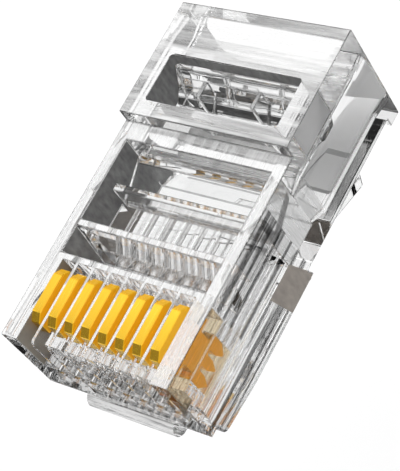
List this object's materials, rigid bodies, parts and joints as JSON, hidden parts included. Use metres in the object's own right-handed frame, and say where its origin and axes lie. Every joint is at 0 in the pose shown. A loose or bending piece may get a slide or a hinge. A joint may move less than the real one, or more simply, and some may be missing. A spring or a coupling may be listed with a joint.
{
  "type": "modular plug",
  "caption": "Clear snap-in data cable plug: a stepped hollow block with open windows, a sprung latch lever below, two press-down clamps and a row of comb-footed gold blades in slots.",
  "frame": {"origin": "middle of the front body's top front edge: on the centre plane, on the mating front face and level with the top face that the contacts stand up from", "axes": "+Y from the mating front towards the cable end, +Z out of the top face on the contact side, +X across the plug towards contact_1"},
  "size_m": [0.0116, 0.0227, 0.0144],
  "materials": {
    "clear_plastic": "polished, clear and colourless",
    "gold_plate": "gold plated, bright and slightly brushed"
  },
  "bodies": {
    "housing": {"housing": "clear_plastic"},
    "latch": {"latch": "clear_plastic"},
    "jacket_clamp": {"jacket_clamp": "clear_plastic"},
    "conductor_clamp": {"conductor_clamp": "clear_plastic"},
    "contact_1": {"contact_1": "gold_plate"},
    "contact_2": {"contact_2": "gold_plate"},
    "contact_3": {"contact_3": "gold_plate"},
    "contact_4": {"contact_4": "gold_plate"},
    "contact_5": {"contact_5": "gold_plate"},
    "contact_6": {"contact_6": "gold_plate"},
    "contact_7": {"contact_7": "gold_plate"},
    "contact_8": {"contact_8": "gold_plate"}
  },
  "joints": [
    {"name": "latch_hinge", "type": "hinge", "parent": "housing", "child": "latch", "pos_m": [0, 0.00032, -0.00636], "axis": [1, 0, 0], "range_deg": [0, 14], "stiffness_Nm_per_rad": 0.35},
    {"name": "jacket_clamp_press", "type": "slide", "parent": "housing", "child": "jacket_clamp", "axis": [0, 0, -1], "range_m": [0, 0.001]},
    {"name": "conductor_clamp_press", "type": "hinge", "parent": "housing", "child": "conductor_clamp", "pos_m": [0, 0.0131, -0.0015], "axis": [1, 0, 0], "range_deg": [0, 17]},
    {"name": "contact_1_crimp", "type": "slide", "parent": "housing", "child": "contact_1", "axis": [0, 0, -1], "range_m": [0, 0.001]},
    {"name": "contact_2_crimp", "type": "slide", "parent": "housing", "child": "contact_2", "axis": [0, 0, -1], "range_m": [0, 0.001]},
    {"name": "contact_3_crimp", "type": "slide", "parent": "housing", "child": "contact_3", "axis": [0, 0, -1], "range_m": [0, 0.001]},
    {"name": "contact_4_crimp", "type": "slide", "parent": "housing", "child": "contact_4", "axis": [0, 0, -1], "range_m": [0, 0.001]},
    {"name": "contact_5_crimp", "type": "slide", "parent": "housing", "child": "contact_5", "axis": [0, 0, -1], "range_m": [0, 0.001]},
    {"name": "contact_6_crimp", "type": "slide", "parent": "housing", "child": "contact_6", "axis": [0, 0, -1], "range_m": [0, 0.001]},
    {"name": "contact_7_crimp", "type": "slide", "parent": "housing", "child": "contact_7", "axis": [0, 0, -1], "range_m": [0, 0.001]},
    {"name": "contact_8_crimp", "type": "slide", "parent": "housing", "child": "contact_8", "axis": [0, 0, -1], "range_m": [0, 0.001]}
  ]
}
